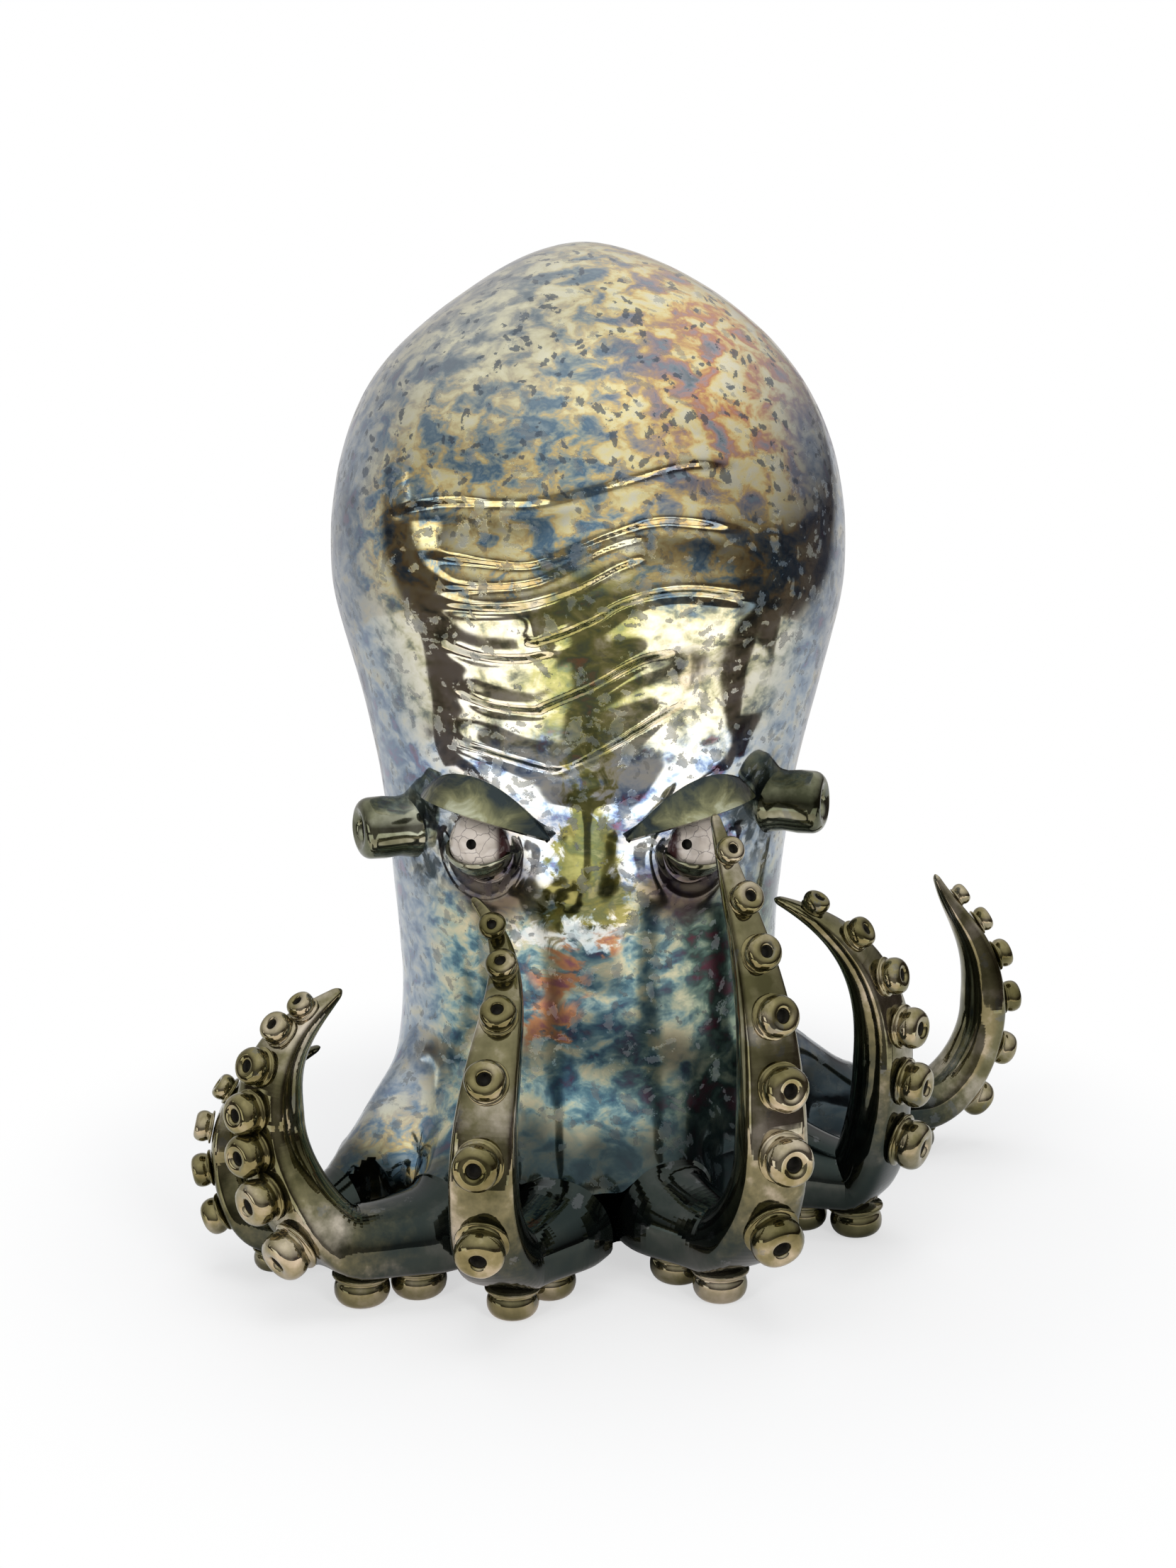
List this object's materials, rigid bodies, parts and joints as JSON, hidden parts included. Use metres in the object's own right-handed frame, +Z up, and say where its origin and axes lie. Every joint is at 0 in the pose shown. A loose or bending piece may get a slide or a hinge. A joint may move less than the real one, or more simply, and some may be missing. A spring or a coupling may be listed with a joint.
{
  "type": "octopus figurine",
  "caption": "Hollow hand-built ceramic octopus ornament with a bulbous head, heavy-lidded eyes, side siphons and curled arms, standing on its suckers.",
  "frame": {"origin": "centre of the bounding box at table height, on the ring faces of the suckers it stands on", "axes": "+Z up along the body's axis to the crown; the face looks along -Y; +X is the viewer's right"},
  "size_m": [0.2796, 0.2516, 0.315],
  "materials": {
    "body_lustre": "glossy mottled lustre glaze",
    "arm_bronze": "glossy dark olive bronze lustre glaze",
    "sucker_gold": "glossy olive gold lustre glaze",
    "eye_white": "white crackle glaze",
    "lid_olive": "glossy olive lustre glaze",
    "siphon_olive": "glossy olive lustre glaze"
  },
  "bodies": {
    "root": {"body_shell": "body_lustre", "arm_left_front": "arm_bronze", "arm_left": "arm_bronze", "arm_front_left": "arm_bronze", "arm_front_right": "arm_bronze", "arm_right_front": "arm_bronze", "arm_right": "arm_bronze", "arm_back_right": "arm_bronze", "arm_back_left": "arm_bronze", "sucker_left_front_1": "sucker_gold", "sucker_left_front_2": "sucker_gold", "sucker_left_front_3": "sucker_gold", "sucker_left_front_4": "sucker_gold", "sucker_left_front_5": "sucker_gold", "sucker_left_1": "sucker_gold", "sucker_left_2": "sucker_gold", "sucker_left_3": "sucker_gold", "sucker_left_4": "sucker_gold", "sucker_left_5": "sucker_gold", "sucker_front_left_1": "sucker_gold", "sucker_front_left_2": "sucker_gold", "sucker_front_left_3": "sucker_gold", "sucker_front_left_4": "sucker_gold", "sucker_front_left_5": "sucker_gold", "sucker_front_right_1": "sucker_gold", "sucker_front_right_2": "sucker_gold", "sucker_front_right_3": "sucker_gold", "sucker_front_right_4": "sucker_gold", "sucker_front_right_5": "sucker_gold", "sucker_right_front_1": "sucker_gold", "sucker_right_front_2": "sucker_gold", "sucker_right_front_3": "sucker_gold", "sucker_right_front_4": "sucker_gold", "sucker_right_front_5": "sucker_gold", "sucker_right_1": "sucker_gold", "sucker_right_2": "sucker_gold", "sucker_right_3": "sucker_gold", "sucker_right_4": "sucker_gold", "sucker_right_5": "sucker_gold", "sucker_back_right_1": "sucker_gold", "sucker_back_right_2": "sucker_gold", "sucker_back_right_3": "sucker_gold", "sucker_back_right_4": "sucker_gold", "sucker_back_right_5": "sucker_gold", "sucker_back_left_1": "sucker_gold", "sucker_back_left_2": "sucker_gold", "sucker_back_left_3": "sucker_gold", "sucker_back_left_4": "sucker_gold", "sucker_back_left_5": "sucker_gold", "eyeball_left": "eye_white", "upper_lid_left": "lid_olive", "lower_lid_left": "lid_olive", "siphon_left": "siphon_olive", "eyeball_right": "eye_white", "upper_lid_right": "lid_olive", "lower_lid_right": "lid_olive", "siphon_right": "siphon_olive"}
  },
  "joints": []
}
